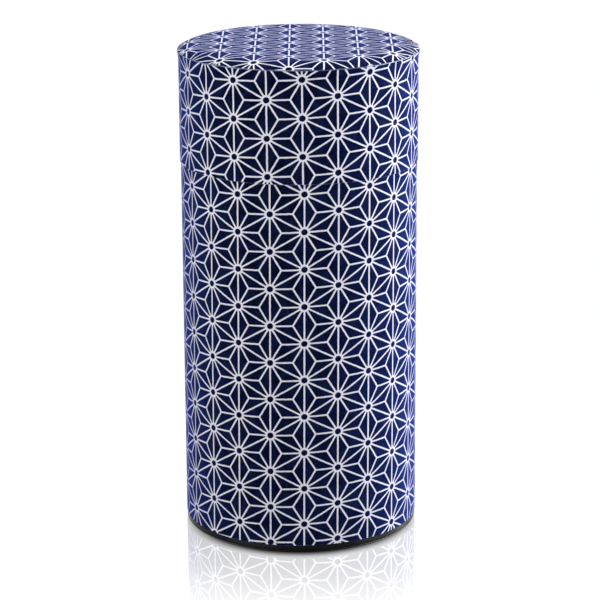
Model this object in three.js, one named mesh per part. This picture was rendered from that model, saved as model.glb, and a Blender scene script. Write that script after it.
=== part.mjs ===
// A tall round tinplate canister for spices or tea, covered in printed paper, with a deep slip-on cap
// over a plug-shaped inner lid. Millimetres, +Z up, origin at the middle of the base.
import * as THREE from 'three';

// Driving dimensions
const HEIGHT = 155.6;           // base to top, cap on
const CAP_RADIUS = 37.5;        // over the cap's paper
const RIM_PROUD = 0.3;          // the cap's top rim stands this far out from its side
const BODY_RADIUS = 37.2;       // over the body's paper
const CAP_EDGE_HEIGHT = 118.5;  // the cap's lower edge above the base
const MOUTH_HEIGHT = 142;       // the tube's rolled mouth above the base
const SHOULDER_RADIUS = 14.5;   // the cap's top curves down to its rim with this radius
const SHOULDER_TURN = 30.5;     // degrees that it has turned down by at the rim
const PAPER = 0.15;             // thickness of the washi paper
const GLUE = 0.05;              // between paper and tin
const TIN = 0.3;                // sheet of the tube, bottom, top plate and inner lid
const CAP_TIN = 0.2;            // sheet of the cap's band
const SEAT_GAP = 0.3;           // between pieces that rest on each other
const RIVET_GAP = 0.15;         // between the pieces that the knob's rivet holds

// Tube
const TUBE_RADIUS = BODY_RADIUS - PAPER - GLUE;
const NECK_SET_IN = 0.25;       // the neck under the cap is drawn in by this much
const NECK_RADIUS = TUBE_RADIUS - NECK_SET_IN;
const NECK_STEP = 0.4;          // height over which the neck is drawn in
const BEAD_RADIUS = 0.6;        // the roll at the mouth, turned inwards
const FOOT_SET_IN = 0.55;       // the tube's foot is drawn in to sit in the bottom's rim
const FOOT_HEIGHT = 1;          // the tube's lower edge above the base

// Bottom
const RIM_RADIUS = BODY_RADIUS - 0.15;
const RIM_ROUNDING = 0.5;       // the rounding under the rim
const RIM_HEIGHT = 2;
const FOOT_RING_INNER = 34.1;   // the flat ring that the canister stands on starts here
const PANEL_HEIGHT = 1.8;       // the panel stands clear of the table

// Papers
const BODY_PAPER_FOOT = 2.2;
const BODY_PAPER_TOP = CAP_EDGE_HEIGHT - SEAT_GAP;
const LAP_SIDES = 1;            // sides of the wrap that lie over its start
const SEAM_ANGLE = 142.5;       // degrees round from the front to the wraps' seam

// Cap
const BAND_RADIUS = CAP_RADIUS - PAPER - GLUE;
const HEM_HEIGHT = 3;           // the band's lower edge is folded inwards
const HEM_TIN = 0.18;
const SKIRT_DEPTH = 4.5;        // the top plate's skirt inside the band
const SKIRT_GAP = 0.1;

// Inner lid
const PLUG_RADIUS = TUBE_RADIUS - NECK_SET_IN - 2 * BEAD_RADIUS - 0.3;
const PLUG_DEPTH = 6;
const FLANGE_RADIUS = NECK_RADIUS - 0.25;
const BOSS_RADIUS = 13;         // the panel is pressed up in the middle
const BOSS_HEIGHT = 0.8;
const KNOB_RADIUS = 8;
const KNOB_WAIST = 3.6;
const KNOB_HEIGHT = 11;
const RIVET_RADIUS = 1.5;
const RIVET_BORE = RIVET_RADIUS + 0.2;

const SIDES = 48;               // sides of every large round piece
const KNOB_SIDES = 24;
const STEP = 2 * Math.PI / SIDES;

const TINPLATE = { color: 0xb9bcc2, roughness: 0.32, metalness: 1 };
const BLACK_LACQUER = { color: 0x0a0b0e, roughness: 0.22, metalness: 0 };
const PRINTED_PAPER = { color: 0x2b3674, roughness: 0.6, metalness: 0 };

const canister = new THREE.Group();

function piece(name, geometry, finish) {
  const mesh = new THREE.Mesh(geometry, new THREE.MeshStandardMaterial(finish));
  mesh.name = name;
  canister.add(mesh);
}

// Points [radius, height] on an arc about a centre, between two angles in degrees.
function arc(centreRadius, centreHeight, size, from, to, steps) {
  return Array.from({ length: steps + 1 }, (_, k) => {
    const angle = THREE.MathUtils.degToRad(from + (to - from) * k / steps);
    return [centreRadius + size * Math.cos(angle), centreHeight + size * Math.sin(angle)];
  });
}

// Turns an outline [radius, height] about +Z. It runs outwards along the underside and back over the
// top. One that starts off the axis is a ring, and closes on itself.
function turned(outline, sides = SIDES) {
  const points = outline.map(([radius, height]) => new THREE.Vector2(radius, height));
  if (outline[0][0] > 0) points.push(points[0].clone());
  return new THREE.LatheGeometry(points, sides).rotateX(Math.PI / 2);
}

// A strip of paper with the given cross-section, wrapped once round the tin: its last sides lie over
// its first ones, and both cut ends are closed.
function wrapped(outline) {
  const ring = outline.map(([radius, height]) => new THREE.Vector2(radius, height));
  const ends = THREE.ShapeUtils.triangulateShape(ring, []);
  ring.push(ring[0].clone());
  const sides = SIDES + LAP_SIDES;
  const strip = new THREE.LatheGeometry(ring, sides);
  for (let side = 0; side <= sides; side += 1) {
    const angle = THREE.MathUtils.degToRad(SEAM_ANGLE) + side * STEP;
    const lift = side >= SIDES ? PAPER + GLUE : 0;
    ring.forEach(({ x: radius, y: height }, k) => {
      const [across, along] = [Math.sin(angle), -Math.cos(angle)].map((turn) => turn * (radius + lift));
      strip.attributes.position.setXYZ(side * ring.length + k, across, along, height);
    });
  }
  const last = sides * ring.length;
  const faces = Array.from(strip.index.array);
  for (const [a, b, c] of ends) faces.push(a, b, c, last + a, last + c, last + b);
  return strip.setIndex(faces);
}

// The tube: foot drawn in to sit in the bottom's rim, neck drawn in under the cap, mouth rolled in.
function bodyTube() {
  const foot = TUBE_RADIUS - FOOT_SET_IN;
  const neckFoot = BODY_PAPER_TOP - NECK_STEP / 2;
  const beadMiddle = MOUTH_HEIGHT - BEAD_RADIUS;
  return turned([
    [foot - TIN, FOOT_HEIGHT],
    [foot, FOOT_HEIGHT],
    [foot, RIM_HEIGHT],
    [TUBE_RADIUS, RIM_HEIGHT + FOOT_SET_IN],
    [TUBE_RADIUS, neckFoot],
    [NECK_RADIUS, neckFoot + NECK_STEP],
    ...arc(NECK_RADIUS - BEAD_RADIUS, beadMiddle, BEAD_RADIUS, 0, 240, 6),
    [NECK_RADIUS - TIN, beadMiddle - BEAD_RADIUS],
    [NECK_RADIUS - TIN, neckFoot + NECK_STEP],
    [TUBE_RADIUS - TIN, neckFoot],
    [TUBE_RADIUS - TIN, RIM_HEIGHT + FOOT_SET_IN],
    [foot - TIN, RIM_HEIGHT],
  ]);
}

// The bottom: a raised panel, a flat ring to stand on, and a rounded rim rolled round the tube's foot.
function bottomPlate() {
  const roundingStart = RIM_RADIUS - RIM_ROUNDING;
  const slope = 0.6;
  return turned([
    [0, PANEL_HEIGHT],
    [FOOT_RING_INNER - slope, PANEL_HEIGHT],
    [FOOT_RING_INNER, 0],
    ...arc(roundingStart, RIM_ROUNDING, RIM_ROUNDING, -90, 0, 3),
    [RIM_RADIUS, RIM_HEIGHT],
    [RIM_RADIUS - TIN, RIM_HEIGHT],
    ...arc(roundingStart, RIM_ROUNDING, RIM_ROUNDING - TIN, 0, -90, 3),
    [FOOT_RING_INNER + TIN, TIN],
    [FOOT_RING_INNER - slope + TIN, PANEL_HEIGHT + TIN],
    [0, PANEL_HEIGHT + TIN],
  ]);
}

function bodyPaper() {
  return wrapped([
    [BODY_RADIUS - PAPER, BODY_PAPER_FOOT],
    [BODY_RADIUS, BODY_PAPER_FOOT],
    [BODY_RADIUS, BODY_PAPER_TOP],
    [BODY_RADIUS - PAPER, BODY_PAPER_TOP],
  ]);
}

// The inner lid: a dished plug whose flange rests on the tube's mouth.
function innerLidPlate() {
  const flangeFoot = MOUTH_HEIGHT + SEAT_GAP;
  const panelFoot = flangeFoot - PLUG_DEPTH;
  const corner = 1;
  const bossFoot = panelFoot + BOSS_HEIGHT;
  return turned([
    [RIVET_BORE, bossFoot],
    [BOSS_RADIUS, bossFoot],
    [BOSS_RADIUS + corner, panelFoot],
    ...arc(PLUG_RADIUS - corner, panelFoot + corner, corner, -90, 0, 2),
    [PLUG_RADIUS, flangeFoot],
    [FLANGE_RADIUS, flangeFoot],
    [FLANGE_RADIUS, flangeFoot + TIN],
    [PLUG_RADIUS - TIN, flangeFoot + TIN],
    ...arc(PLUG_RADIUS - corner, panelFoot + corner, corner - TIN, 0, -90, 2),
    [BOSS_RADIUS + corner, panelFoot + TIN],
    [BOSS_RADIUS, bossFoot + TIN],
    [RIVET_BORE, bossFoot + TIN],
  ]);
}

const PANEL_UNDERSIDE = MOUTH_HEIGHT + SEAT_GAP - PLUG_DEPTH + BOSS_HEIGHT;
const KNOB_FOOT = PANEL_UNDERSIDE + TIN + RIVET_GAP;

// The knob: a flared foot, a narrow waist and a domed head, with a blind bore for the rivet.
function innerLidKnob() {
  const boreTop = KNOB_FOOT + KNOB_HEIGHT * 0.55;
  const headHeight = KNOB_HEIGHT * 0.35;
  return turned([
    [0, boreTop],
    [RIVET_BORE, boreTop],
    [RIVET_BORE, KNOB_FOOT],
    [KNOB_WAIST * 1.5, KNOB_FOOT],
    [KNOB_WAIST * 1.5, KNOB_FOOT + 1],
    [KNOB_WAIST, KNOB_FOOT + KNOB_HEIGHT * 0.28],
    [KNOB_WAIST, KNOB_FOOT + KNOB_HEIGHT * 0.45],
    [KNOB_RADIUS, KNOB_FOOT + KNOB_HEIGHT - headHeight],
    [KNOB_RADIUS * 0.86, KNOB_FOOT + KNOB_HEIGHT - headHeight * 0.4],
    [KNOB_RADIUS * 0.5, KNOB_FOOT + KNOB_HEIGHT - headHeight * 0.08],
    [0, KNOB_FOOT + KNOB_HEIGHT],
  ], KNOB_SIDES);
}

const WASHER = 0.5;
const WASHER_TOP = PANEL_UNDERSIDE - RIVET_GAP;

function knobWasher() {
  const outer = KNOB_WAIST * 1.4;
  return turned([
    [RIVET_BORE, WASHER_TOP - WASHER],
    [outer, WASHER_TOP - WASHER],
    [outer, WASHER_TOP],
    [RIVET_BORE, WASHER_TOP],
  ], KNOB_SIDES);
}

// The rivet: a low domed head under the washer, and a shank up into the knob.
function knobRivet() {
  const headTop = WASHER_TOP - WASHER - RIVET_GAP;
  const head = 3.2;
  const domeHeight = 0.9;
  return turned([
    [0, headTop - domeHeight],
    [head * 0.6, headTop - domeHeight * 0.8],
    [head, headTop - 0.2],
    [head, headTop],
    [RIVET_RADIUS, headTop],
    [RIVET_RADIUS, KNOB_FOOT + KNOB_HEIGHT * 0.5],
    [0, KNOB_FOOT + KNOB_HEIGHT * 0.5],
  ], KNOB_SIDES);
}

const TOP_RADIUS = CAP_RADIUS + RIM_PROUD;
const FLAT_RADIUS = TOP_RADIUS - SHOULDER_RADIUS * Math.sin(THREE.MathUtils.degToRad(SHOULDER_TURN));
const SHOULDER_CENTRE = HEIGHT - SHOULDER_RADIUS;
const RIM_TOP = 153.3;          // where the side's paper ends, just under the top's disc
const RIM_FOOT = RIM_TOP - 2.8; // the rim stands out from here up

// The curve from the flat top down towards the rim, at a depth under the paper's outer face.
function shoulder(depth, from, to, steps) {
  return arc(FLAT_RADIUS, SHOULDER_CENTRE, SHOULDER_RADIUS - depth, 90 - from, 90 - to, steps);
}

// The cap's wall, with its lower edge folded inwards.
function capBand() {
  const inner = BAND_RADIUS - CAP_TIN;
  const hem = inner - HEM_TIN;
  const edge = 0.1;
  const top = RIM_FOOT - SEAT_GAP;
  return turned([
    [hem, CAP_EDGE_HEIGHT + edge],
    [hem + edge, CAP_EDGE_HEIGHT],
    [BAND_RADIUS - edge, CAP_EDGE_HEIGHT],
    [BAND_RADIUS, CAP_EDGE_HEIGHT + edge],
    [BAND_RADIUS, top],
    [inner, top],
    [inner, CAP_EDGE_HEIGHT + HEM_HEIGHT],
    [hem, CAP_EDGE_HEIGHT + HEM_HEIGHT],
  ]);
}

// The cap's top: a flat disc, a curved shoulder, a rolled rim on the band and a skirt inside it.
function capTopPlate() {
  const depth = PAPER + GLUE;
  const skirt = BAND_RADIUS - CAP_TIN - SKIRT_GAP;
  const rim = TOP_RADIUS - depth;
  const outerTurn = SHOULDER_TURN - 2.5;
  const innerTurn = SHOULDER_TURN - 6.5;
  return turned([
    [0, HEIGHT - depth - TIN],
    ...shoulder(depth + TIN, 0, innerTurn, 3),
    [skirt - TIN, RIM_TOP - 0.1],
    [skirt - TIN, RIM_FOOT - SKIRT_DEPTH],
    [skirt, RIM_FOOT - SKIRT_DEPTH],
    [skirt, RIM_FOOT],
    [BAND_RADIUS, RIM_FOOT],
    [rim, RIM_TOP - 0.5],
    [rim, RIM_TOP],
    ...shoulder(depth, outerTurn, 0, 4),
    [0, HEIGHT - depth],
  ]);
}

// The side's paper runs up over the rim, as far as the top's disc.
function capSidePaper() {
  const foot = CAP_EDGE_HEIGHT + 0.1;
  return wrapped([
    [CAP_RADIUS - PAPER, foot],
    [CAP_RADIUS, foot],
    [CAP_RADIUS, RIM_FOOT],
    [TOP_RADIUS, RIM_TOP - 0.5],
    [TOP_RADIUS, RIM_TOP],
    [TOP_RADIUS - PAPER, RIM_TOP],
    [TOP_RADIUS - PAPER, RIM_TOP - 0.5],
    [CAP_RADIUS - PAPER, RIM_FOOT],
  ]);
}

// The top's disc of paper covers the top as far as the rim.
function capTopPaper() {
  return turned([
    [0, HEIGHT - PAPER],
    ...shoulder(PAPER, 0, SHOULDER_TURN, 4),
    ...shoulder(0, SHOULDER_TURN, 0, 4),
    [0, HEIGHT],
  ]);
}

piece('body_tube', bodyTube(), TINPLATE);
piece('bottom_plate', bottomPlate(), BLACK_LACQUER);
piece('body_paper', bodyPaper(), PRINTED_PAPER);
piece('inner_lid_plate', innerLidPlate(), TINPLATE);
piece('inner_lid_knob', innerLidKnob(), TINPLATE);
piece('knob_washer', knobWasher(), TINPLATE);
piece('knob_rivet', knobRivet(), TINPLATE);
piece('cap_band', capBand(), TINPLATE);
piece('cap_top_plate', capTopPlate(), TINPLATE);
piece('cap_side_paper', capSidePaper(), PRINTED_PAPER);
piece('cap_top_paper', capTopPaper(), PRINTED_PAPER);

export default canister;
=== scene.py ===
# %% [markdown]
# # A spice canister in printed washi paper
# The real thing is a tall round tin with a deep slip-on cap. Both are wrapped in paper printed with the
# hemp-leaf lattice, white on indigo, and an inner lid with a knob plugs the mouth under the cap.
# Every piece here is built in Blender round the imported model, which is the fixed frame: a piece goes
# where the frame has it and rides on the body that it belongs to. Millimetres are easiest to think in,
# so outlines are written in millimetres and turned into metres when the mesh is made.

# %% Load the frame
import math

import bmesh
import bpy
from mathutils import Matrix, Vector


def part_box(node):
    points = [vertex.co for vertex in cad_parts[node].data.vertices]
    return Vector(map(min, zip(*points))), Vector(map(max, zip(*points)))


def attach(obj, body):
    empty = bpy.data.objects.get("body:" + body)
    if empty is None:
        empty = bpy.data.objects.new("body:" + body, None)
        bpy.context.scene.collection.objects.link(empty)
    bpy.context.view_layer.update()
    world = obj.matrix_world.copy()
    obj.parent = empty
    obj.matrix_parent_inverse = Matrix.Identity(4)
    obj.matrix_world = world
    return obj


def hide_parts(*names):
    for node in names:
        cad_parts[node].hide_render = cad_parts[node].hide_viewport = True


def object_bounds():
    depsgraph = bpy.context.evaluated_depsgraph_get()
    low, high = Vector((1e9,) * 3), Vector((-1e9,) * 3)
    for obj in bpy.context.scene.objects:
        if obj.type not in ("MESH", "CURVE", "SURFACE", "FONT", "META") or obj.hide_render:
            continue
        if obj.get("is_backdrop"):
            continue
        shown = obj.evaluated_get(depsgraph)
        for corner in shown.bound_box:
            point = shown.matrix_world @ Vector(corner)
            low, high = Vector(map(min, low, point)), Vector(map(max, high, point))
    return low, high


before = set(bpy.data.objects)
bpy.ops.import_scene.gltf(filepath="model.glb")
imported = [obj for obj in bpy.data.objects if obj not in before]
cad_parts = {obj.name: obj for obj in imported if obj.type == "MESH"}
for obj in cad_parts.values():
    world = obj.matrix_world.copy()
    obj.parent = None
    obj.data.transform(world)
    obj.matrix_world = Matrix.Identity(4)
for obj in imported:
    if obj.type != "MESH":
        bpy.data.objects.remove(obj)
cad_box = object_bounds()
MM = 0.001


# %% [markdown]
# The frame says how big each piece is. These helpers read a node's lowest and highest points, in
# millimetres, so the fine meshes below start from the same heights as the frame.

# %% Sizes from the frame
def bottom(node):
    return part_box(node)[0].z / MM


def top(node):
    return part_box(node)[1].z / MM


HEIGHT = top("cap_top_paper")
TOP_RADIUS = 37.8
CAP_RADIUS = 37.5
BODY_RADIUS = 37.2
MOUTH = top("body_tube")
CAP_EDGE = bottom("cap_band")
PAPER = 0.15
GLUE = 0.05
TIN = 0.3
CAP_TIN = 0.2
TUBE_RADIUS = BODY_RADIUS - PAPER - GLUE
NECK_RADIUS = TUBE_RADIUS - 0.25
BAND_RADIUS = CAP_RADIUS - PAPER - GLUE
print(f"height {HEIGHT:.1f} mm, mouth at {MOUTH:.1f} mm, cap edge at {CAP_EDGE:.1f} mm")

# %% [markdown]
# ## The camera
# A long lens, 0.8 m in front of the tin and 0.3 m up, looks down by about 16 degrees. It leans by a
# third of a degree, as a hand-levelled camera does.

# %% Camera
CAMERA_PLACE = Vector((0.00006, -0.8092, 0.3010))
LOOKS_DOWN = 0.276
LEAN = -0.0058

lens = bpy.data.cameras.new("camera")
lens.sensor_width = 36
lens.lens = 157.6
camera = bpy.data.objects.new("camera", lens)
bpy.context.scene.collection.objects.link(camera)
aim = Matrix.Rotation(math.pi / 2 - LOOKS_DOWN, 4, "X") @ Matrix.Rotation(LEAN, 4, "Z")
camera.matrix_world = Matrix.Translation(CAMERA_PLACE) @ aim
bpy.context.scene.camera = camera
print("camera at", tuple(round(x, 3) for x in CAMERA_PLACE))

# %% [markdown]
# ## Shader sums as expressions
# A node tree is easier to read as arithmetic. `Sum` wraps one socket, and its operators add Math nodes,
# so `1 - mask * 0.5` builds two of them. `Nodes` wraps a whole tree. Its `add` makes any other node:
# first its settings, then its sockets, by name or place.


# %% The socket wrapper
class Sum:
    def __init__(self, nodes, socket):
        self.nodes = nodes
        self.socket = socket

    def math(self, operation, *operands):
        values = dict(enumerate(operands))
        return self.nodes.add("ShaderNodeMath", {"operation": operation}, values)

    def __add__(self, other):
        return self.math("ADD", self, other)

    def __radd__(self, other):
        return self.math("ADD", other, self)

    def __sub__(self, other):
        return self.math("SUBTRACT", self, other)

    def __rsub__(self, other):
        return self.math("SUBTRACT", other, self)

    def __mul__(self, other):
        return self.math("MULTIPLY", self, other)

    def __rmul__(self, other):
        return self.math("MULTIPLY", other, self)

    def __pow__(self, other):
        return self.math("POWER", self, other)

    def __abs__(self):
        return self.math("ABSOLUTE", self)

    def least(self, other):
        return self.math("MINIMUM", self, other)

    def most(self, other):
        return self.math("MAXIMUM", self, other)

    def under(self, other):
        """1 where this is less than the other, and 0 elsewhere."""
        return self.math("LESS_THAN", self, other)

    def wave(self):
        """A sine between 0 and 1."""
        return self.math("SINE", self) * 0.5 + 0.5

    def fold(self, length):
        """Runs up to length and back again, like a folded ruler."""
        return self.math("PINGPONG", self, length)

    def below(self, limit, blur):
        """1 where the value is under the limit and 0 over it, with an edge as wide as blur."""
        ramp = {"interpolation_type": "SMOOTHSTEP"}
        ends = {"Value": self, "From Min": limit + blur / 2, "From Max": limit - blur / 2}
        return self.nodes.add("ShaderNodeMapRange", ramp, ends)


# %% The tree wrapper
class Nodes:
    def __init__(self, tree):
        self.tree = tree

    def add(self, kind, settings=None, sockets=None, output=0):
        node = self.tree.nodes.new(kind)
        for name, value in (settings or {}).items():
            setattr(node, name, value)
        for place, value in (sockets or {}).items():
            if isinstance(value, Sum):
                self.tree.links.new(value.socket, node.inputs[place])
            else:
                node.inputs[place].default_value = value
        return Sum(self, node.outputs[output]) if node.outputs else None

    def mix(self, factor, first, second):
        """A colour between two colours."""
        sockets = {0: factor, 6: first, 7: second}
        return self.add("ShaderNodeMix", {"data_type": "RGBA"}, sockets, 2)

    def sheet(self, scale=1.0, stretch=1.0):
        """The place on the flat sheet, in millimetres, which each mesh keeps in its own UV map."""
        place = self.add("ShaderNodeUVMap", {"uv_map": "sheet"})
        if scale == 1 and stretch == 1:
            return place
        sockets = {0: place, 1: (scale, scale * stretch, scale)}
        return self.add("ShaderNodeVectorMath", {"operation": "MULTIPLY"}, sockets)

    def noise(self, place, scale, detail=2.0, distortion=0.0):
        sockets = {"Vector": place, "Scale": scale, "Detail": detail, "Distortion": distortion}
        return self.add("ShaderNodeTexNoise", {"noise_dimensions": "2D"}, sockets)

    def bump(self, height, depth):
        """A normal from a height of 0 to 1 that stands for depth in millimetres."""
        return self.add("ShaderNodeBump", {}, {"Height": height, "Distance": depth * MM, "Strength": 1.0})


def rgb(red, green, blue):
    return (red, green, blue, 1.0)


def finish_of(name, build, **constants):
    """A material whose Principled shader gets the sockets that build(nodes) makes, and constants."""
    material = bpy.data.materials.new(name)
    material.use_nodes = True
    material.node_tree.nodes.clear()
    nodes = Nodes(material.node_tree)
    sockets = {key.replace("_", " "): value for key, value in constants.items()}
    sockets.update(build(nodes))
    surface = nodes.add("ShaderNodeBsdfPrincipled", {}, sockets)
    nodes.add("ShaderNodeOutputMaterial", {}, {"Surface": surface})
    print(f"finish {name}: {len(material.node_tree.nodes)} nodes")
    return material


# %% [markdown]
# ## The studio
# The tin stands on a glossy white sweep. A wide softbox on the right is the key, a smaller one at the
# front left opens the shaded side, and a weak one overhead lights the top. The world is white for the
# camera. The light that it gives is bright towards the back right and dim elsewhere, so the front
# middle is the darkest part. In a mirror the whole room is brighter, so that the sweep's gloss doesn't
# turn grey.

# %% World
BACK_GLOW = 0.95
FRONT_GLOW = 0.22
MIRRORED_BACK = 1.0
MIRRORED_FRONT = 0.65
RIGHT_SHARE = 1.0

world = bpy.data.worlds.new("studio")
bpy.context.scene.world = world
world.use_nodes = True
world.node_tree.nodes.clear()
studio = Nodes(world.node_tree)
heading = studio.add("ShaderNodeTexCoord", {}, {}, 0)
right = studio.add("ShaderNodeSeparateXYZ", {}, {0: heading}, 0)
backwards = studio.add("ShaderNodeSeparateXYZ", {}, {0: heading}, 1)
rise = 1 - (backwards + right * RIGHT_SHARE).below(0.75, 1.1)
seen = studio.add("ShaderNodeLightPath", {}, {}, "Is Camera Ray")
mirrored = studio.add("ShaderNodeLightPath", {}, {}, "Is Glossy Ray")
back = BACK_GLOW + mirrored * (MIRRORED_BACK - BACK_GLOW)
front = FRONT_GLOW + mirrored * (MIRRORED_FRONT - FRONT_GLOW)
room = front + rise * (back - front)
glow = seen + (1 - seen) * room
sky = studio.add("ShaderNodeBackground", {}, {"Color": rgb(1, 1, 1), "Strength": glow})
studio.add("ShaderNodeOutputWorld", {}, {"Surface": sky})
bpy.context.scene.view_settings.view_transform = "Standard"
print("world glows", FRONT_GLOW, "at the front and", BACK_GLOW, "at the back")


# %% [markdown]
# A softbox is an area light that looks at the tin. Big lights close by give the soft, even falloff
# that a paper-wrapped tin needs, and the camera doesn't see them.

# %% Softboxes
def softbox(name, azimuth, elevation, distance, size, watts):
    light = bpy.data.lights.new(name, "AREA")
    light.shape = "RECTANGLE"
    light.size, light.size_y = size
    light.energy = watts
    lamp = bpy.data.objects.new(name, light)
    bpy.context.scene.collection.objects.link(lamp)
    side, up = math.radians(azimuth), math.radians(elevation)
    away = Vector((math.sin(side) * math.cos(up), -math.cos(side) * math.cos(up), math.sin(up)))
    middle = Vector((0, 0, HEIGHT * MM / 2))
    lamp.location = middle + away * distance
    lamp.rotation_mode = "QUATERNION"
    lamp.rotation_quaternion = away.to_track_quat("Z", "Y")
    lamp.visible_camera = False
    return lamp


softbox("key_right", 93, 28, 0.55, (0.75, 0.45), 6.0)
softbox("fill_left", -50, 24, 0.6, (0.5, 0.45), 2.8)
softbox("overhead", 10, 80, 0.7, (0.5, 0.5), 0.7)

# %% [markdown]
# The sweep is white and glossy near the tin, so the tin's foot shows faintly in it, and the gloss
# fades out with distance. The dark shade under the foot is painted, and lies a little towards the
# front. The sweep is left out of diffuse light, so it doesn't brighten the paper from below.

# %% Floor
GLOSS = 0.5
GLOSS_INSIDE = 0.045
GLOSS_OUTSIDE = 0.15
SHADE_INSIDE = 0.0322
SHADE_OUTSIDE = 0.0381
SHADE_FORWARD = 0.0045
SWEEP_GLOW = 1.02

bpy.ops.mesh.primitive_circle_add(vertices=96, radius=3, fill_type="NGON")
floor = bpy.context.object
floor.name = "sweep"
white = bpy.data.materials.new("white sweep")
white.use_nodes = True
white.node_tree.nodes.clear()
sweep = Nodes(white.node_tree)
spot = sweep.add("ShaderNodeTexCoord", {}, {}, 3)
reach = sweep.add("ShaderNodeVectorMath", {"operation": "LENGTH"}, {0: spot}, 1)
near = reach.below((GLOSS_INSIDE + GLOSS_OUTSIDE) / 2, GLOSS_OUTSIDE - GLOSS_INSIDE)
lit = {"Base Color": rgb(0.3, 0.3, 0.3), "Roughness": 1.0, "Specular IOR Level": 0.0}
lit.update({"Emission Color": rgb(1, 1, 1), "Emission Strength": SWEEP_GLOW})
matt = sweep.add("ShaderNodeBsdfPrincipled", {}, lit)
mirror = sweep.add("ShaderNodeBsdfGlossy", {}, {"Color": rgb(1, 1, 1), "Roughness": 0.04})
acrylic = sweep.add("ShaderNodeMixShader", {}, {0: GLOSS * near, 1: matt, 2: mirror})
plain = sweep.add("ShaderNodeEmission", {}, {"Color": rgb(1, 1, 1), "Strength": SWEEP_GLOW})
lighted = sweep.add("ShaderNodeMixShader", {}, {0: near, 1: plain, 2: acrylic})
under = sweep.add("ShaderNodeVectorMath", {"operation": "ADD"}, {0: spot, 1: (0, SHADE_FORWARD, 0)})
close = sweep.add("ShaderNodeVectorMath", {"operation": "LENGTH"}, {0: under}, 1)
shade = close.below((SHADE_INSIDE + SHADE_OUTSIDE) / 2, SHADE_OUTSIDE - SHADE_INSIDE)
black = sweep.add("ShaderNodeBsdfDiffuse", {}, {"Color": rgb(0.01, 0.01, 0.012)})
whole = sweep.add("ShaderNodeMixShader", {}, {0: shade, 1: lighted, 2: black})
sweep.add("ShaderNodeOutputMaterial", {}, {"Surface": whole})
floor.visible_diffuse = False
floor.data.materials.append(white)
floor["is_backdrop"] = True
print("sweep is glossy out to", GLOSS_OUTSIDE / MM, "mm")

# %% [markdown]
# ## Turning a shape
# Almost every piece of a round tin is turned: an outline of radius and height, swept round the axis.
# Outlines run outwards along the underside and back over the top, which keeps the faces facing out.
# `arc` adds the points of a round stretch, so that no outline needs more points than its shape does.

# %% Outlines
SIDES = 192
FINE = 12
KNOB_SIDES = 96
CUT_FACE = 3e-7


def arc(radius, height, size, start, stop, steps=FINE):
    """Points on an arc about (radius, height), between two angles in degrees."""
    turns = [math.radians(start + (stop - start) * k / steps) for k in range(steps + 1)]
    return [(radius + size * math.cos(turn), height + size * math.sin(turn)) for turn in turns]


def steps_between(first, last, count):
    """Points on the straight line between two points, both ends included."""
    shares = [k / count for k in range(count + 1)]
    return [tuple(a + (b - a) * share for a, b in zip(first, last)) for share in shares]


# %% [markdown]
# The sheet's flat place goes into a UV map called "sheet", in millimetres, so every finish can be drawn
# at its real scale: a wall unrolls into a strip, and a disc keeps its two flat directions. A strip of
# paper is the same sweep with two cut ends, and its last stretch is lifted over its first.


# %% Sweeping an outline
def unrolled(radius):
    return lambda turn, reach, height: (radius * turn, height)


def laid_flat(turn, reach, height):
    return (reach * math.sin(turn), -reach * math.cos(turn))


def swept(name, outline, turns, flat, closed=True, lift=None, ragged=None):
    """A mesh of the outline at each angle in turns. closed joins the last angle to the first."""
    loop = outline[0][0] > 0
    columns, rows = len(turns), len(outline)
    corners = []
    for column, turn in enumerate(turns):
        raised = lift(column) if lift else 0
        for row, (reach, height) in enumerate(outline):
            out, up = ragged(row, turn) if ragged else (0, 0)
            far = reach + raised + out
            corners.append((far * math.sin(turn) * MM, -far * math.cos(turn) * MM, (height + up) * MM))
    faces, places = [], []
    for column in range(columns if closed else columns - 1):
        after = (column + 1) % columns
        for row in range(rows if loop else rows - 1):
            above = (row + 1) % rows
            square = [(column, row), (column + 1, row), (column + 1, above), (column, above)]
            here, there = column * rows, after * rows
            faces.append([here + row, there + row, there + above, here + above])
            for side, level in square:
                turn = turns[side] if side < columns else turns[0] + 2 * math.pi
                places.append(flat(turn, *outline[level]))
    if not closed:
        for column, order in ((0, range(rows)), (columns - 1, range(rows - 1, -1, -1))):
            faces.append([column * rows + row for row in order])
            places.extend(flat(turns[column], *outline[row]) for row in order)
    mesh = bpy.data.meshes.new(name)
    mesh.from_pydata(corners, [], faces)
    sheet = mesh.uv_layers.new(name="sheet")
    for corner, place in enumerate(places):
        sheet.data[corner].uv = place
    return mesh


def tidied(mesh, sharp=32):
    """Merges the points that meet on the axis, faces everything outwards and shades it smooth."""
    work = bmesh.new()
    work.from_mesh(mesh)
    bmesh.ops.remove_doubles(work, verts=work.verts, dist=1e-7)
    bmesh.ops.recalc_face_normals(work, faces=work.faces)
    work.to_mesh(mesh)
    work.free()
    mesh.shade_smooth()
    mesh.set_sharp_from_angle(angle=math.radians(sharp))
    return mesh


# %% Placing a piece
def placed(mesh, body, slot, finish, *nodes):
    """The finished piece: it rides on a body, stands for its nodes and takes its finish."""
    piece = bpy.data.objects.new(mesh.name, mesh)
    bpy.context.scene.collection.objects.link(piece)
    piece.data.materials.append(finish)
    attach(piece, body)
    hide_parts(*nodes)
    print(f"{mesh.name}: {len(mesh.polygons)} faces")
    return piece


def whole_turn(sides=SIDES):
    return [2 * math.pi * k / sides for k in range(sides)]


def turned(name, outline, flat, sides=SIDES, sharp=32):
    return tidied(swept(name, outline, whole_turn(sides), flat), sharp)


# %% [markdown]
# ## Tinplate
# Tinplate is thin steel with a bright tin coat. It is rolled, so it has faint streaks along the sheet,
# and the coat is a little cloudy. The streaks are noise stretched a long way in one direction, and they
# feed the roughness and a shallow bump, so that they show as a satin grain and not as painted lines.

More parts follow.
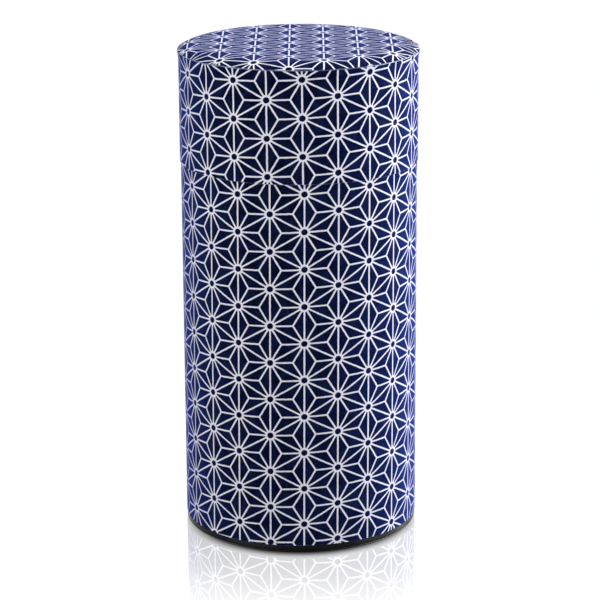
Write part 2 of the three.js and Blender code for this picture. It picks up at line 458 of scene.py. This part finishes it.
# %% Tinplate finish
WELD_TURN = math.radians(150)
WELD_WIDTH = 0.9


def tinplate(nodes, weld_at=None):
    streaks = nodes.noise(nodes.sheet(0.05, 60), 1.0, 3.0)
    cloud = nodes.noise(nodes.sheet(0.12), 1.0, 4.0)
    grain = nodes.noise(nodes.sheet(2.4), 1.0, 2.0)
    shade = nodes.mix(cloud, rgb(0.58, 0.59, 0.61), rgb(0.76, 0.76, 0.77))
    rough = 0.17 + 0.16 * streaks + 0.10 * cloud
    height = 0.6 * streaks + 0.4 * grain
    if weld_at is not None:
        across = nodes.add("ShaderNodeSeparateXYZ", {}, {0: nodes.sheet()}, 0)
        weld = abs(across - weld_at).below(WELD_WIDTH / 2, 0.25)
        heat = abs(across - weld_at).below(2.4, 2.6)
        shade = nodes.mix(heat * 0.45, shade, rgb(0.42, 0.37, 0.33))
        rough = rough + 0.2 * weld
        height = height + 6 * weld
    return {"Base Color": shade, "Roughness": rough, "Normal": nodes.bump(height, 0.008)}


tin_sheet = finish_of("tinplate sheet", tinplate, Metallic=1.0)
tin_tube = finish_of(
    "tinplate with a weld", lambda nodes: tinplate(nodes, TUBE_RADIUS * WELD_TURN), Metallic=1.0
)

# %% [markdown]
# ## The tube
# The body is a strip of tinplate rolled into a tube and welded down its back. Its foot is drawn in to sit
# in the bottom's rim, its neck is drawn in under the cap, and the mouth is rolled inwards into a
# bead, so that there's no sharp edge.

# %% Tube
BEAD = 0.6
FOOT_SET_IN = 0.55
SEAM_HEIGHT = 2.0
NECK_FOOT = bottom("cap_band") - 0.5
foot = TUBE_RADIUS - FOOT_SET_IN
tube_outline = [
    (foot - TIN, bottom("body_tube")),
    (foot, bottom("body_tube")),
    (foot, SEAM_HEIGHT),
    *arc(foot + 0.3, SEAM_HEIGHT + 0.3, 0.3, 200, 150, 4),
    (TUBE_RADIUS, SEAM_HEIGHT + FOOT_SET_IN),
    *steps_between((TUBE_RADIUS, 2.7), (TUBE_RADIUS, NECK_FOOT), 6),
    (TUBE_RADIUS - 0.05, NECK_FOOT + 0.12),
    (NECK_RADIUS + 0.05, NECK_FOOT + 0.36),
    (NECK_RADIUS, NECK_FOOT + 0.5),
    *arc(NECK_RADIUS - BEAD, MOUTH - BEAD, BEAD, 0, 240, 18),
    (NECK_RADIUS - TIN, MOUTH - 2 * BEAD),
    (NECK_RADIUS - TIN, NECK_FOOT + 0.5),
    (TUBE_RADIUS - TIN, NECK_FOOT),
    (TUBE_RADIUS - TIN, SEAM_HEIGHT + FOOT_SET_IN),
    (foot - TIN, SEAM_HEIGHT),
]
tube = turned("body_tube", tube_outline, unrolled(TUBE_RADIUS))
placed(tube, "canister", "tinplate", tin_tube, "body_tube")
print("tube wall", TIN, "mm, mouth bead", 2 * BEAD, "mm")

# %% [markdown]
# ## The bottom
# The bottom is a pressed disc, lacquered black outside and bare inside, and rolled round the tube's
# foot. Stoved lacquer flows before it sets, so it has a fine orange-peel skin, and dust and rubbing
# dull it a little.


# %% Black lacquer finish
def lacquer(nodes):
    peel = nodes.noise(nodes.sheet(0.9), 1.0, 2.0)
    rub = nodes.noise(nodes.sheet(0.18), 1.0, 5.0)
    shade = nodes.mix(rub, rgb(0.003, 0.003, 0.004), rgb(0.008, 0.007, 0.009))
    return {
        "Base Color": shade,
        "Roughness": 0.16 + 0.2 * rub,
        "Normal": nodes.bump(peel, 0.01),
    }


black_lacquer = finish_of("black lacquer", lacquer, Specular_IOR_Level=0.08)

# %% Bottom
RIM_RADIUS = BODY_RADIUS - 0.15
RIM_ROUNDING = 0.5
PANEL = 1.8
RING_INNER = 34.1
rounding = RIM_RADIUS - RIM_ROUNDING
bottom_outline = [
    (0, PANEL),
    (RING_INNER - 1.4, PANEL),
    *arc(RING_INNER - 1.3, PANEL - 0.6, 0.6, 90, 0, 6),
    *arc(RING_INNER + 0.1, 0.8, 0.8, 180, 270, 6),
    *arc(rounding, RIM_ROUNDING, RIM_ROUNDING, -90, 0),
    (RIM_RADIUS, top("bottom_plate") - 0.1),
    *arc(RIM_RADIUS - TIN / 2, top("bottom_plate") - 0.15, TIN / 2, 0, 180, 6),
    *arc(rounding, RIM_ROUNDING, RIM_ROUNDING - TIN, 0, -90, 8),
    *arc(RING_INNER + 0.1, 0.8, 0.5, 270, 180, 4),
    *arc(RING_INNER - 1.3, PANEL - 0.6, 0.9, 0, 90, 4),
    (0, PANEL + TIN),
]
disc = turned("bottom_plate", bottom_outline, laid_flat)
base = placed(disc, "canister", "black_lacquer", black_lacquer, "bottom_plate")
base.data.materials.append(tin_sheet)
inside = [face for face in disc.polygons if face.normal.z > 0.2 and face.center.z > TIN * MM]
for face in inside:
    face.material_index = 1
print("bottom:", len(inside), "faces are bare tin inside")

# %% [markdown]
# ## Printed washi
# The pattern is the hemp leaf: stars on a lattice of equal triangles, with twelve rays each, six to the
# next stars and six to the middles of the triangles. Nothing needs to be drawn by hand. Folding the
# sheet up into one tile, like cutting a paper star, leaves one quarter of two stars, and the nearer one is
# the star that a point belongs to. A ray is a straight line through it at a multiple of 30 degrees, and
# the distance to that line needs only a sum. Each star has a white ring with an indigo dot in it. The
# sheet on the top is printed with slightly thinner lines.

# %% Hemp-leaf lattice
PITCH = 11.78
LINE = 0.52
TOP_LINE = 0.45
DOT = 0.95
RING = 1.64
INK_EDGE = 0.09


def hemp_leaf(nodes, place, line):
    """1 on the white lines of the lattice and 0 on the indigo between them."""
    east = nodes.add("ShaderNodeSeparateXYZ", {}, {0: place}, 0)
    north = nodes.add("ShaderNodeSeparateXYZ", {}, {0: place}, 1)
    width, height = PITCH * math.sqrt(3) / 2, PITCH / 2
    x, y = east.fold(width), north.fold(height)
    near = (x * x + y * y).under((width - x) ** 2 + (height - y) ** 2)
    x = x * near + (width - x) * (1 - near)
    y = y * near + (height - y) * (1 - near)
    reach = (x * x + y * y) ** 0.5
    half = math.sqrt(3) / 2
    off = x.least(y).least(abs(x * 0.5 - y * half)).least(abs(x * half - y * 0.5))
    rays = off.below(line / 2, INK_EDGE)
    ring = reach.below(RING, INK_EDGE)
    dot = reach.below(DOT, INK_EDGE)
    return rays.most(ring) * (1 - dot)


# %% [markdown]
# Washi is made of long mulberry fibres, so its surface is never quite flat. Thin contour lines of
# warped noise look like those fibres. They lift the surface a little, take slightly less ink, and make the
# printed edge wander by a few hundredths of a millimetre. The ink lies in a broken, cloudy film.


# %% Printed paper finish
INK_DEEP = rgb(0.0006, 0.0007, 0.0010)
INK_THIN = rgb(0.0034, 0.0052, 0.0170)
INK_FIBRE = rgb(0.012, 0.022, 0.075)
PAPER_WHITE = rgb(0.81, 0.80, 0.88)
PAPER_SHADE = rgb(0.74, 0.74, 0.82)
INK_WANDER = 0.16
BLOOM = 0.72
TOP_BLOOM = 0.18


def washi(nodes, line):
    place = nodes.sheet()
    wander = nodes.add(
        "ShaderNodeTexNoise", {"noise_dimensions": "2D"}, {"Vector": place, "Scale": 0.9, "Detail": 2.0}, 1
    )
    wander = nodes.add("ShaderNodeVectorMath", {"operation": "SUBTRACT"}, {0: wander, 1: (0.5,) * 3})
    sockets = {0: wander, 1: (INK_WANDER,) * 3, 2: place}
    printed = nodes.add("ShaderNodeVectorMath", {"operation": "MULTIPLY_ADD"}, sockets)
    white_line = hemp_leaf(nodes, printed, line)
    fibre = abs(nodes.noise(place, 0.35, 3.0, 2.5) - 0.5).below(0.012, 0.02)
    fibre = fibre.most(abs(nodes.noise(nodes.sheet(1.0, 0.6), 0.8, 2.0, 1.5) - 0.5).below(0.01, 0.016))
    cloud = nodes.noise(place, 0.22, 4.0)
    tooth = nodes.noise(place, 5.0, 3.0)
    ink = nodes.mix(1 - cloud.below(0.52, 0.24), INK_DEEP, INK_THIN)
    ink = nodes.mix(fibre * 0.45, ink, INK_FIBRE)
    ink = nodes.mix(tooth.below(0.34, 0.1) * 0.25, ink, INK_FIBRE)
    paper = nodes.mix(cloud * 0.6 + fibre * 0.3, PAPER_WHITE, PAPER_SHADE)
    paper = nodes.mix(tooth.below(0.36, 0.12) * 0.12, paper, INK_FIBRE)
    height = 0.45 * tooth + 0.55 * fibre + 0.3 * cloud
    return {
        "Base Color": nodes.mix(white_line, ink, paper),
        "Roughness": 0.46 + 0.12 * white_line + 0.08 * tooth,
        "Normal": nodes.bump(height, 0.012),
    }


def washi_finish(name, bloom, line=LINE):
    """bloom is the strength of the ink's blue bloom at a slanting view, and line the lines' width."""
    sheen = {"Sheen Weight": bloom, "Sheen Roughness": 0.49, "Sheen Tint": rgb(0.045, 0.14, 1.0)}
    gloss = {"Specular IOR Level": 0.01, "Specular Tint": rgb(0.02, 0.12, 1.0)}
    return finish_of(name, lambda nodes: {**washi(nodes, line), **gloss, **sheen})


body_print = washi_finish("washi on the body", BLOOM)
cap_side_print = washi_finish("washi on the cap", BLOOM)
cap_top_print = washi_finish("washi on the top", TOP_BLOOM, TOP_LINE)


# %% [markdown]
# The paper's cut edge shows its white core, stained blue here and there where the ink and the glue have
# crept in. Its pale blue is also a painted highlight, standing for light that catches the edge.

# %% Cut edge finish
def raw_edge_and_highlight(nodes):
    stain = nodes.noise(nodes.sheet(0.7), 1.0, 4.0)
    patch = stain.below(0.5, 0.2)
    # The pale blue is the paper's core and a painted highlight of light catching the edge; the dark
    # patches are ink stain.
    shade = nodes.mix(patch, rgb(0.40, 0.50, 0.80), rgb(0.04, 0.08, 0.32))
    return {"Base Color": shade, "Roughness": 0.7 + 0.2 * stain}


cut_edge_and_highlight = finish_of("paper edge with a painted highlight", raw_edge_and_highlight)

# %% [markdown]
# ## How the print lies on each sheet
# The paper was cut without matching the pattern, so each sheet has its own offset and slant. A lay names
# one star, and the steps from it to the star above and to the next column's star, all in millimetres. The
# two steps give the place on the printed pattern, which is what the UV map holds.


# %% Print lays
def printed_from(star, step_up, step_across):
    """A function from a place on the sheet to a place on the print, whose lattice is regular."""
    across_x, across_y = step_across
    up_x, up_y = step_up
    size = across_x * up_y - across_y * up_x

    def place(x, y):
        east, north = x - star[0], y - star[1]
        column = (east * up_y - north * up_x) / size
        level = (north * across_x - east * across_y) / size
        return (column * PITCH * math.sqrt(3) / 2, (level + column / 2) * PITCH)

    return place


BODY_STAR = (1.40, 80.1)
BODY_ACROSS = (10.68, 6.387)
body_lay = printed_from(BODY_STAR, (0.07, 11.785), BODY_ACROSS)
side_lay = printed_from((1.08, 138.9), (-0.07, 11.774), (10.86, 6.417))
top_lay = printed_from((-2.78, -25.79), (0.0, 11.722), (10.571, 6.272))
next_star = [here + step for here, step in zip(BODY_STAR, BODY_ACROSS)]
print("a point one column along is at", body_lay(*next_star))

# %% [markdown]
# ## Wrapping the paper
# A wrap goes once round and laps over its own start at the back. The lapped stretch steps up over
# the cut end below it within a couple of millimetres. The knife wandered a little along both edges.

# %% Wraps
SEAM = math.radians(142.5)
LAP = math.radians(7.5)
STEP_UP = 3
BODY_TOP_WANDER = 0.4
CAP_EDGE_WANDER = 0.6
DISC_WANDER = 0.8


def wrap_turns():
    """Angles from the seam, once round and over the lap, measured so that the front is 0."""
    start = SEAM - 2 * math.pi
    count = SIDES + round(SIDES * LAP / (2 * math.pi))
    return [start + 2 * math.pi * k / SIDES for k in range(count + 1)]


def lap_lift(column):
    """The lapped end is one sheet and its glue higher than the rest."""
    share = (column - SIDES + STEP_UP) / STEP_UP
    share = min(max(share, 0), 1)
    return (PAPER + GLUE) * share * share * (3 - 2 * share)


def knife(turn):
    """How far the cut edge wanders, in millimetres."""
    waves = ((5, 0.05, 0.3), (13, 0.03, 1.1), (29, 0.02, 2.0), (61, 0.012, 0.7))
    return sum(size * math.sin(turn * waves_round + shift) for waves_round, size, shift in waves)


def wrap(name, outline, radius, lay, edges):
    """A lapped sheet. edges are the rows of the outline at the cut edges, which wander."""

    def flat(turn, reach, height):
        return lay(radius * turn, height)

    def ragged(row, turn):
        return (0, knife(turn) * edges.get(row, 0))

    return tidied(
        swept(name, outline, wrap_turns(), flat, closed=False, lift=lap_lift, ragged=ragged), 25
    )


def show_cut(piece, is_cut):
    """Gives the faces at the cut edges the look of bare paper, lightened by a painted highlight."""
    piece.data.materials.append(cut_edge_and_highlight)
    cuts = [face for face in piece.data.polygons if is_cut(face)]
    for face in cuts:
        face.material_index = 1
    print(f"{piece.name}: {len(cuts)} faces of cut edge")


# %% Body paper
EDGE_ROUND = 0.05
low, high = bottom("body_paper"), CAP_EDGE - 0.06
inner, outer = BODY_RADIUS - PAPER, BODY_RADIUS
body_outline = [
    (inner, low),
    (outer - EDGE_ROUND, low),
    (outer, low + EDGE_ROUND),
    *steps_between((outer, low + 0.4), (outer, high - 0.4), 24),
    (outer, high - EDGE_ROUND),
    (outer - EDGE_ROUND, high),
    (inner, high),
]
last = len(body_outline) - 1
body_edges = {0: 1, 1: 1, 2: 1, **{last - row: BODY_TOP_WANDER for row in range(3)}}
body_sheet = wrap("body_paper", body_outline, outer, body_lay, body_edges)
body_paper = placed(body_sheet, "canister", "body_print", body_print, "body_paper")


def at_level(*levels):
    """True for faces that lie at one of these heights, in millimetres, within the knife's wander."""
    return lambda face: any(abs(face.center.z / MM - level) < 0.2 for level in levels)


show_cut(body_paper, lambda face: at_level(low, high)(face) and face.area < CUT_FACE)

# %% [markdown]
# ## The inner lid
# Under the cap a dished tin plug closes the mouth. Its flange sits on the bead, its panel is pressed up in
# the middle, and a turned knob is riveted through it, with a washer under the panel.

# %% Inner lid plate
FLANGE_FOOT = MOUTH + 0.3
PLUG_RADIUS = 35.25
FLANGE_RADIUS = 36.5
PANEL_FOOT = bottom("inner_lid_plate")
BOSS = 0.8
BOSS_RADIUS = 13
CORNER = 1.0
BORE = 1.7
lid_outline = [
    (BORE, PANEL_FOOT + BOSS),
    (BOSS_RADIUS - 0.4, PANEL_FOOT + BOSS),
    *arc(BOSS_RADIUS - 0.4, PANEL_FOOT + BOSS - 0.4, 0.4, 90, 20, 4),
    *arc(BOSS_RADIUS + 0.8, PANEL_FOOT + 0.4, 0.4, 200, 270, 4),
    *arc(PLUG_RADIUS - CORNER, PANEL_FOOT + CORNER, CORNER, -90, 0, 8),
    (PLUG_RADIUS, FLANGE_FOOT - 0.1),
    (PLUG_RADIUS + 0.1, FLANGE_FOOT),
    *arc(FLANGE_RADIUS - TIN / 2, FLANGE_FOOT + TIN / 2, TIN / 2, -90, 90, 8),
    *arc(PLUG_RADIUS + 0.1, FLANGE_FOOT - 0.1, 0.4, 90, 180, 4),
    *arc(PLUG_RADIUS - CORNER, PANEL_FOOT + CORNER, CORNER - TIN, 0, -90, 6),
    *arc(BOSS_RADIUS + 0.8, PANEL_FOOT + 0.4, 0.1, 270, 200, 4),
    *arc(BOSS_RADIUS - 0.4, PANEL_FOOT + BOSS - 0.4, 0.7, 20, 90, 4),
    (BORE, PANEL_FOOT + BOSS + TIN),
]
lid = turned("inner_lid_plate", lid_outline, laid_flat, sharp=40)
placed(lid, "inner_lid", "tinplate", tin_sheet, "inner_lid_plate")


# %% [markdown]
# The knob is turned on a lathe, so its grain runs round it in fine rings. Here the rings are a wave along
# the knob's outline, broken up with a little noise, in both the roughness and the bump.

# %% Turned metal finish
def turned_metal(nodes):
    place = nodes.sheet()
    along = nodes.add("ShaderNodeSeparateXYZ", {}, {0: place}, 1)
    marks = nodes.noise(nodes.sheet(0.3, 30), 1.0, 2.0)
    rings = (along * 45 + marks * 4).wave()
    dull = nodes.noise(nodes.sheet(0.35), 1.0, 3.0)
    shade = nodes.mix(dull, rgb(0.62, 0.62, 0.64), rgb(0.80, 0.80, 0.80))
    return {
        "Base Color": shade,
        "Roughness": 0.14 + 0.10 * rings + 0.14 * dull,
        "Normal": nodes.bump(rings, 0.003),
    }


knob_metal = finish_of("turned metal", turned_metal, Metallic=1.0)

# %% Knob
KNOB_FOOT = bottom("inner_lid_knob")
KNOB_TOP = top("inner_lid_knob")
KNOB_TALL = KNOB_TOP - KNOB_FOOT
WAIST = 3.6
HEAD = 8.0
FLARE = 5.4
bore_top = KNOB_FOOT + KNOB_TALL * 0.55
head_foot = KNOB_TOP - KNOB_TALL * 0.35
knob_outline = [
    (0, bore_top),
    (BORE, bore_top),
    (BORE, KNOB_FOOT),
    (FLARE - 0.15, KNOB_FOOT),
    *arc(FLARE - 0.25, KNOB_FOOT + 0.5, 0.25, -60, 60, 6),
    *arc(WAIST + 2.3, KNOB_FOOT + 3.2, 2.3, 245, 180, 8),
    (WAIST, KNOB_FOOT + 4.4),
    *arc(WAIST + 2.2, KNOB_FOOT + 4.9, 2.2, 180, 115, 8),
    *arc(HEAD - 0.6, head_foot + 0.55, 0.6, -70, 35, 8),
    *arc(0, KNOB_TOP - 18.2, 18.2, 66.2, 90, 12)[1:],
]
knob = turned("inner_lid_knob", knob_outline, unrolled(HEAD), KNOB_SIDES, 40)
placed(knob, "inner_lid", "knob_metal", knob_metal, "inner_lid_knob")

# %% Washer and rivet
WASHER_TOP = top("knob_washer")
WASHER_FOOT = bottom("knob_washer")
WASHER_RADIUS = 5.04
washer_outline = [
    (BORE, WASHER_FOOT + 0.05),
    (BORE + 0.05, WASHER_FOOT),
    *arc(WASHER_RADIUS - 0.15, WASHER_FOOT + 0.15, 0.15, -90, 0, 4),
    *arc(WASHER_RADIUS - 0.15, WASHER_TOP - 0.15, 0.15, 0, 90, 4),
    (BORE + 0.05, WASHER_TOP),
    (BORE, WASHER_TOP - 0.05),
]
washer = turned("knob_washer", washer_outline, laid_flat, KNOB_SIDES)
placed(washer, "inner_lid", "tinplate", tin_sheet, "knob_washer")

RIVET_FOOT = bottom("knob_rivet")
RIVET_HEAD = WASHER_FOOT - 0.15
RIVET_RADIUS = 1.5
RIVET_HEAD_RADIUS = 3.2
DOME = 6.0
rivet_outline = [
    *arc(0, RIVET_FOOT + DOME, DOME, -90, -59, 8),
    (RIVET_HEAD_RADIUS, RIVET_HEAD - 0.1),
    (RIVET_HEAD_RADIUS - 0.1, RIVET_HEAD),
    (RIVET_RADIUS, RIVET_HEAD),
    (RIVET_RADIUS, top("knob_rivet") - 0.2),
    (RIVET_RADIUS - 0.2, top("knob_rivet")),
    (0, top("knob_rivet")),
]
rivet = turned("knob_rivet", rivet_outline, unrolled(RIVET_HEAD_RADIUS), KNOB_SIDES, 40)
placed(rivet, "inner_lid", "tinplate", tin_sheet, "knob_rivet")

# %% [markdown]
# ## The cap
# The cap's band is folded inwards at its lower edge, which makes the edge safe and stiff. The top is
# a separate plate with a curved shoulder, whose skirt fits inside the band.

# %% Cap band
HEM = 3.0
HEM_TIN = 0.18
band_inner = BAND_RADIUS - CAP_TIN
hem_inner = band_inner - HEM_TIN
fold = (BAND_RADIUS - hem_inner) / 2
band_top = top("cap_band")
band_outline = [
    *arc(hem_inner + fold, CAP_EDGE + fold, fold, 180, 360, 10),
    *steps_between((BAND_RADIUS, CAP_EDGE + 0.5), (BAND_RADIUS, band_top), 6),
    (band_inner, band_top),
    (band_inner, CAP_EDGE + HEM),
    (hem_inner, CAP_EDGE + HEM),
]
band = turned("cap_band", band_outline, unrolled(BAND_RADIUS))
placed(band, "cap", "tinplate", tin_sheet, "cap_band")

# %% Shoulder of the top
SHOULDER = 14.5
SHOULDER_TURN = 30.5
FLAT = TOP_RADIUS - SHOULDER * math.sin(math.radians(SHOULDER_TURN))
RIM_TOP = top("cap_side_paper")
RIM_FOOT = RIM_TOP - 2.8


def shoulder(depth, start, stop, steps=FINE):
    """The curve from the flat top down towards the rim, at a depth under the paper."""
    return arc(FLAT, HEIGHT - SHOULDER, SHOULDER - depth, 90 - start, 90 - stop, steps)


# %% Cap top plate
under = PAPER + GLUE
skirt = band_inner - 0.1
plate_rim = TOP_RADIUS - under
plate_outline = [
    (0, HEIGHT - under - TIN),
    *shoulder(under + TIN, 0, SHOULDER_TURN - 6.5),
    (skirt - TIN, RIM_TOP - 0.1),
    (skirt - TIN, bottom("cap_top_plate")),
    (skirt, bottom("cap_top_plate")),
    (skirt, RIM_FOOT),
    (BAND_RADIUS, RIM_FOOT),
    *arc(plate_rim - 0.4, RIM_TOP - 0.5, 0.4, -20, 40, 4),
    *shoulder(under, SHOULDER_TURN - 2.5, 0),
    (0, HEIGHT - under),
]
plate = turned("cap_top_plate", plate_outline, laid_flat)
placed(plate, "cap", "tinplate", tin_sheet, "cap_top_plate")

# %% [markdown]
# The side's paper runs up over the rim, which stands a little proud, and stops under the disc. The disc of
# paper on top is drawn down over the shoulder, and its cut edge is the thin pale line at the rim, pale
# from the paper's core and from a painted highlight.

# %% Cap side paper
low, high = CAP_EDGE - 0.04, RIM_TOP
inner, outer = CAP_RADIUS - PAPER, CAP_RADIUS
side_outline = [
    (inner, low),
    (outer - EDGE_ROUND, low),
    (outer, low + EDGE_ROUND),
    *steps_between((outer, low + 0.4), (outer, RIM_FOOT - 0.4), 12),
    (outer + 0.05, RIM_FOOT + 0.4),
    (TOP_RADIUS - 0.08, RIM_TOP - 1.0),
    (TOP_RADIUS, RIM_TOP - 0.5),
    (TOP_RADIUS, RIM_TOP),
    (TOP_RADIUS - PAPER, RIM_TOP),
    (TOP_RADIUS - PAPER, RIM_TOP - 0.5),
    (inner + 0.05, RIM_FOOT + 0.4),
    (inner, RIM_FOOT - 0.4),
]
side_edges = {row: CAP_EDGE_WANDER for row in range(3)}
side_sheet = wrap("cap_side_paper", side_outline, outer, side_lay, side_edges)
side_paper = placed(side_sheet, "cap", "cap_side_print", cap_side_print, "cap_side_paper")
show_cut(side_paper, lambda face: at_level(low, high)(face) and face.area < CUT_FACE)

# %% Cap top paper
TOP_SLANT = 0.0037


def on_top(turn, reach, height):
    """Round the shoulder the print keeps its length along the curve."""
    bent = max(reach - FLAT, 0) / SHOULDER
    along = min(reach, FLAT) + SHOULDER * math.asin(min(bent, 1))
    turn = turn + TOP_SLANT
    return top_lay(along * math.sin(turn), -along * math.cos(turn))


def trimmed(row, turn):
    """The knife's wander at the disc's rim."""
    return (knife(turn) * DISC_WANDER, 0) if abs(row - rim_row) < 2 else (0, 0)


flat_steps = steps_between((0.0, 0.0), (FLAT, 0.0), 16)
under_side = [(reach, HEIGHT - PAPER) for reach, _ in flat_steps[:-1]]
upper_side = [(reach, HEIGHT) for reach, _ in reversed(flat_steps[:-1])]
over = shoulder(0, SHOULDER_TURN, 0)
rim_row = len(under_side) + FINE + 1
top_outline = [*under_side, *shoulder(PAPER, 0, SHOULDER_TURN), *over, *upper_side]
top_sheet = tidied(swept("cap_top_paper", top_outline, whole_turn(), on_top, ragged=trimmed), 25)
top_paper = placed(top_sheet, "cap", "cap_top_print", cap_top_print, "cap_top_paper")


def at_rim(face):
    return math.hypot(face.center.x, face.center.y) / MM > TOP_RADIUS - 0.12 and face.area < CUT_FACE


show_cut(top_paper, at_rim)

# %% Sizes and finish
boxes = {"cad": cad_box, "visual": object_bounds()}
{name: [list(corner) for corner in box] for name, box in boxes.items()}
